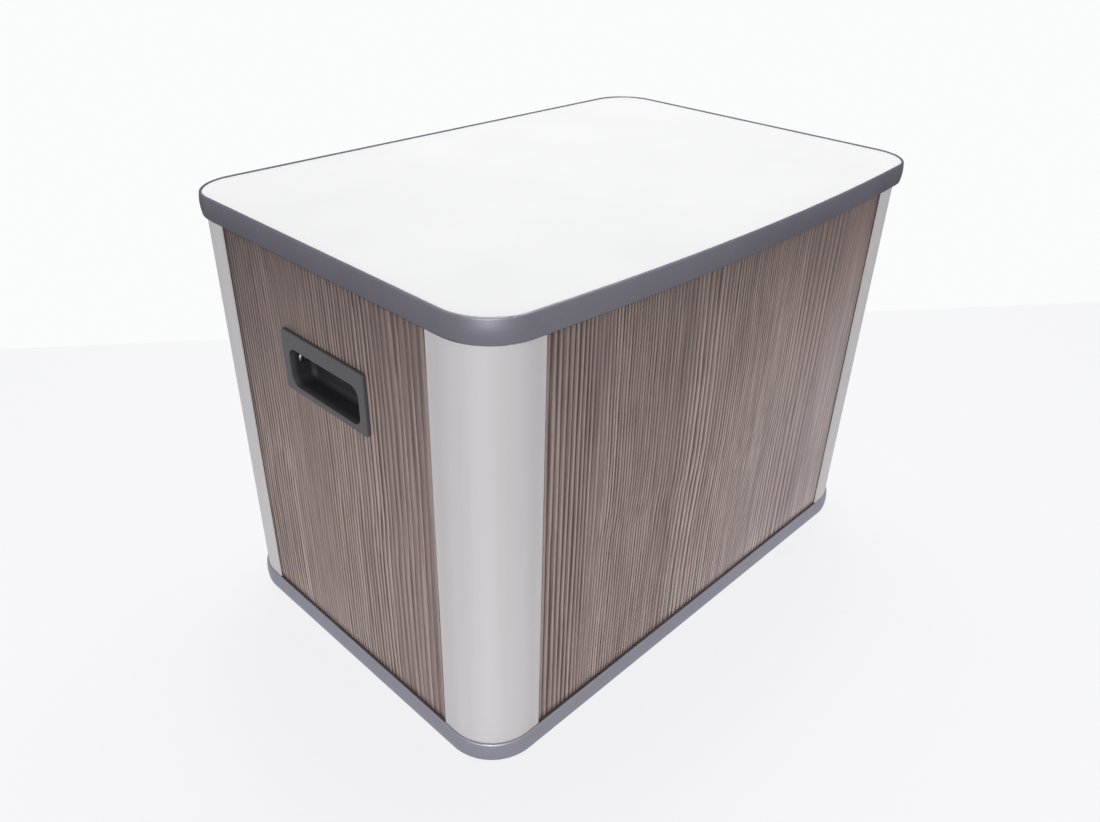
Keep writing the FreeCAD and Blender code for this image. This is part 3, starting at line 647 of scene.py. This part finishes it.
def screw_set(node, body, axis, shank_radius, head_height, domed, tree, material):
    """Replaces a node of plain screws, all alike; axis is the way each one points, or None for outwards
    along Y."""
    head_above_seat = head_height if domed else 0
    mesh = bpy.data.meshes.new(node)
    places, turns = [], []
    for index, (low, high) in enumerate(solids(node)):
        middle = (low + high) / 2
        way = axis or Vector((0, 1 if middle.y > 0 else -1, 0))
        length = abs((high - low).dot(way))
        head_radius = min(high - low) / 2
        start = middle - way * length / 2
        places.append(start + way * head_above_seat)
        spin = Matrix.Rotation(SCREW_SPIN * index, 4, "Z")
        turns.append((way.to_track_quat("-Z", "Y").to_matrix().to_4x4() @ spin).to_euler())
    mesh.from_pydata(places, [], [])
    turn = mesh.attributes.new("turn", "FLOAT_VECTOR", "POINT")
    for index, euler in enumerate(turns):
        turn.data[index].vector = Vector(euler)
    shape = screw_shape(head_radius, head_height, shank_radius, length - head_above_seat, domed)
    source = mesh_object(node + "_points", mesh)
    tree_modifier(source, tree, {"Screw": shape, "Material": material})
    piece = take_mesh(source, node + "_crossed")
    bpy.data.objects.remove(shape)
    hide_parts(node)
    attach(piece, body)


# ======== stage, light, camera ========

def paint(node, material):
    nodes[node].material_slots[0].material = material


def stage_plane(name, corners, material):
    mesh = bpy.data.meshes.new(name)
    mesh.from_pydata(corners, [], [(0, 1, 2, 3)])
    plane = mesh_object(name, mesh)
    mesh.materials.append(material)


def seen_directly(net):
    """1 for what the camera, mirrors and clear pieces see, and 0 for the light that falls on things."""
    path = net.add("ShaderNodeLightPath").outputs
    mirrored = net.math("MAXIMUM", path["Is Glossy Ray"], path["Is Transmission Ray"])
    return net.math("MAXIMUM", path["Is Camera Ray"], mirrored)


def floor_paper():
    """White paper round the box, on a floor that gives back less light; clear from below."""
    material, net, shader = new_material("floor_paper", Roughness=0.7, Specular_IOR_Level=0.1)
    place = net.object_coords()
    away = net.add("ShaderNodeVectorMath", {0: place}, operation="LENGTH").outputs["Value"]
    cloud = net.remap(net.noise(place, 3.0), 0.0, 1.0, 0.84, 0.87)
    path = net.add("ShaderNodeLightPath").outputs
    far = net.remap(away, FLOOR_SHEET_RADIUS, FLOOR_SHEET_RADIUS + FLOOR_SHEET_EDGE)
    dark = net.math("MULTIPLY", far, net.math("SUBTRACT", 1.0, path["Is Camera Ray"]))
    set_surface(shader, net.mix(dark, cloud, (0.05, 0.05, 0.05, 1.0)))
    share = net.remap(away, *FLOOR_LIFT_SPAN, FLOOR_LIFT, FAR_FLOOR_LIFT)
    white = net.add("ShaderNodeEmission", {"Color": (*FLOOR_COLOUR, 1.0)}).outputs[0]
    lift = net.math("MULTIPLY", seen_directly(net), share)
    paper = net.add("ShaderNodeMixShader", {0: lift, 1: shader.outputs[0], 2: white}).outputs[0]
    behind = net.add("ShaderNodeNewGeometry").outputs["Backfacing"]
    clear = net.add("ShaderNodeBsdfTransparent").outputs[0]
    both = net.add("ShaderNodeMixShader", {0: behind, 1: paper, 2: clear}).outputs[0]
    plug(material.node_tree.nodes["Material Output"].inputs["Surface"], both)
    return material


def backdrop_paper():
    """Seen only by the camera, and only from the front."""
    material = bpy.data.materials.new("backdrop_paper")
    material.use_nodes = True
    tree = material.node_tree
    tree.nodes.clear()
    net = Net(tree)
    seen = net.add("ShaderNodeLightPath").outputs["Is Camera Ray"]
    behind = net.add("ShaderNodeNewGeometry").outputs["Backfacing"]
    shown = net.math("MULTIPLY", seen, net.math("SUBTRACT", 1.0, behind))
    clear = net.add("ShaderNodeBsdfTransparent").outputs[0]
    white = net.add("ShaderNodeEmission", {"Color": (*BACKDROP_COLOUR, 1.0)}).outputs[0]
    both = net.add("ShaderNodeMixShader", {0: shown, 1: clear, 2: white}).outputs[0]
    net.add("ShaderNodeOutputMaterial", {"Surface": both})
    return material


def make_stage():
    stage_plane("floor", [(x * STAGE_REACH, y * STAGE_REACH, FLOOR_LEVEL)
                          for x, y in ((-1, -1), (1, -1), (1, 1), (-1, 1))], floor_paper())
    direction = math.radians(BACKDROP_DIRECTION)
    away = Vector((math.cos(direction), math.sin(direction), 0))
    aside = UP.cross(away) * STAGE_REACH
    foot = away * BACKDROP_DISTANCE
    slope = (UP + away) * STAGE_REACH        # leans back, clear of the open lid
    stage_plane("backdrop", [foot - aside + slope, foot + aside + slope, foot + aside, foot - aside],
                backdrop_paper())


def area_lamp(name, place, aim, width, height, power):
    lamp = bpy.data.lights.new(name, "AREA")
    lamp.shape, lamp.size, lamp.size_y = "RECTANGLE", width, height
    lamp.energy = power
    holder = bpy.data.objects.new(name, lamp)
    holder.location = place
    holder.rotation_euler = (Vector(aim) - Vector(place)).to_track_quat("-Z", "Y").to_euler()
    bpy.context.scene.collection.objects.link(holder)


def make_light():
    world = bpy.data.worlds.new("studio")
    bpy.context.scene.world = world
    world.use_nodes = True
    net = Net(world.node_tree)
    level = net.remap(seen_directly(net), 0, 1, WORLD_LIGHT, 1.0)
    background = world.node_tree.nodes["Background"]
    plug(background.inputs["Color"], (*BACKDROP_COLOUR, 1.0))
    plug(background.inputs["Strength"], level)
    for lamp in LAMPS:
        area_lamp(*lamp)


def make_camera():
    data = bpy.data.cameras.new("camera")
    data.sensor_width = SENSOR_WIDTH
    data.lens = FOCAL_PIXELS * SENSOR_WIDTH / IMAGE_WIDTH
    data.shift_x = AXIS_LEFT_OF_MIDDLE / IMAGE_WIDTH
    data.shift_y = AXIS_BELOW_MIDDLE / IMAGE_WIDTH
    camera = bpy.data.objects.new("camera", data)
    camera.location = CAMERA_PLACE
    camera.rotation_euler = Euler([math.radians(angle) for angle in CAMERA_TURN])
    bpy.context.scene.collection.objects.link(camera)
    bpy.context.scene.camera = camera


def dress():
    """Finishes for the CAD pieces, and the pieces that replace some of them."""
    white = white_laminate()
    aluminium = anodised_aluminium()
    black = handle_plastic()
    steel = plated_steel("hinge_steel", (30, 1800, 1800), rgb(168, 167, 165), rgb(182, 181, 180))
    zinc = plated_steel("screw_steel", (900, 900, 900), rgb(188, 190, 193), rgb(214, 216, 219))
    dark_steel = plated_steel("handle_screw_steel", (900, 900, 900), rgb(104, 104, 107),
                              rgb(132, 132, 135))
    wood = wood_decor()
    for corner in CORNERS:
        paint(corner + "_post", aluminium)
    # The base's copy of the moulding plastic is lighter, and reflects more at low angles, than the lid's: a
    # painted reflection of the bright floor beside it.
    paint("base_edge_moulding",
          edge_plastic("base_moulding_painted_floor_reflection", rgb(139, 139, 150), rgb(146, 146, 157), 0.85))
    paint("lid_edge_moulding",
          edge_plastic("lid_moulding", rgb(115, 114, 123), rgb(122, 121, 130), 0.33))
    for node in ("lid_top_laminate", "lid_under_laminate"):
        paint(node, white)
    for node in ("left_handle", "right_handle"):
        paint(node, black)
    for node in ("hinge_body_leaf", "hinge_lid_leaf", "hinge_pin"):
        paint(node, steel)
    paint("panel_gaskets", black_rubber())
    paint("lid_bumpers", soft_plastic())
    paint("base_board", dark_base_board())
    paint("lid_core", plywood("lid_plywood", 2, 0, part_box("lid_core")[1].z))
    for side, axis in (("front", 1), ("back", 1), ("left", 0), ("right", 0)):
        low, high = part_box(side + "_panel_core")
        outer = low[axis] if side in ("front", "left") else high[axis]
        paint(side + "_panel_core", plywood(side + "_plywood", axis, 2, outer))
    decor_sheet("front", FRONT_GRAIN, Vector((0, -1, 0)), wood)
    decor_sheet("left", LEFT_GRAIN, Vector((-1, 0, 0)), wood)
    decor_sheet("back", {**FRONT_GRAIN, "seed": 21.0}, Vector((0, 1, 0)), wood)
    decor_sheet("right", {**LEFT_GRAIN, "seed": 31.0}, Vector((1, 0, 0)), wood)
    tree = screw_tree()
    screw_set("base_screws", "box", UP, 1.95 * MM, 2.6 * MM, False, tree, zinc)
    screw_set("handle_screws", "box", None, 1.7 * MM, 2.4 * MM, True, tree, dark_steel)
    screw_set("hinge_body_screws", "box", Vector((0, -1, 0)), 1.3 * MM, 0.9 * MM, False, tree, zinc)
    screw_set("hinge_lid_screws", "lid", UP, 1.3 * MM, 0.9 * MM, False, tree, zinc)


make_camera()
dress()
make_stage()
make_light()
bpy.context.scene.view_settings.view_transform = "Standard"
